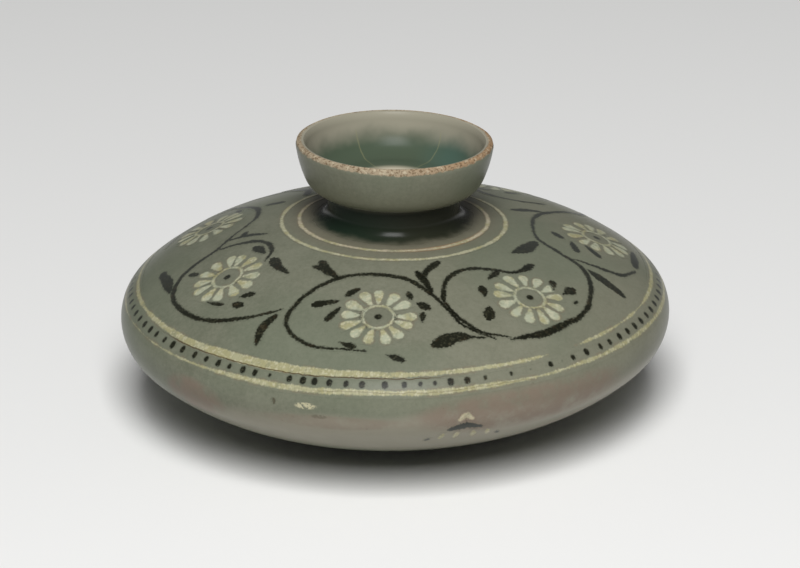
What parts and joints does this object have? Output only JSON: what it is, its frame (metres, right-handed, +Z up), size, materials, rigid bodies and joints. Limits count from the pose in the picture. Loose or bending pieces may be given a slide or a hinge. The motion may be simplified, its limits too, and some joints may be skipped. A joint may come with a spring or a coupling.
{
  "type": "oil bottle",
  "caption": "Flattened round celadon oil bottle with a short waisted neck, a cup-shaped mouth and an inlaid flower scroll in white and black slip.",
  "frame": {"origin": "on the table under the middle of the foot ring", "axes": "+Z up along the bottle's turning axis, -Y towards the front of the pattern"},
  "size_m": [0.09, 0.09, 0.046],
  "materials": {
    "celadon": "grey-green celadon glaze over grey stoneware, gloss",
    "white_slip": "white slip under glaze",
    "black_slip": "black slip under glaze",
    "quartz": "rough quartz grit"
  },
  "bodies": {
    "root": {"lower_bowl": "celadon", "upper_bowl": "celadon", "neck": "celadon", "mouth_cup": "celadon", "shoulder_ring_inner": "white_slip", "shoulder_ring_outer": "white_slip", "band_line_upper": "white_slip", "band_line_lower": "white_slip", "band_dots": "black_slip", "flower_1": "white_slip", "flower_eye_1": "black_slip", "flower_2": "white_slip", "flower_eye_2": "black_slip", "flower_3": "white_slip", "flower_eye_3": "black_slip", "flower_4": "white_slip", "flower_eye_4": "black_slip", "flower_5": "white_slip", "flower_eye_5": "black_slip", "flower_6": "white_slip", "flower_eye_6": "black_slip", "flower_7": "white_slip", "flower_eye_7": "black_slip", "vine_1": "black_slip", "vine_2": "black_slip", "vine_3": "black_slip", "vine_4": "black_slip", "vine_5": "black_slip", "vine_6": "black_slip", "vine_7": "black_slip", "leaves_1": "black_slip", "leaves_2": "black_slip", "leaves_3": "black_slip", "leaves_4": "black_slip", "leaves_5": "black_slip", "leaves_6": "black_slip", "leaves_7": "black_slip", "belly_sprays_white": "white_slip", "belly_sprays_black": "black_slip", "kiln_spur_stubs": "quartz"}
  },
  "joints": []
}
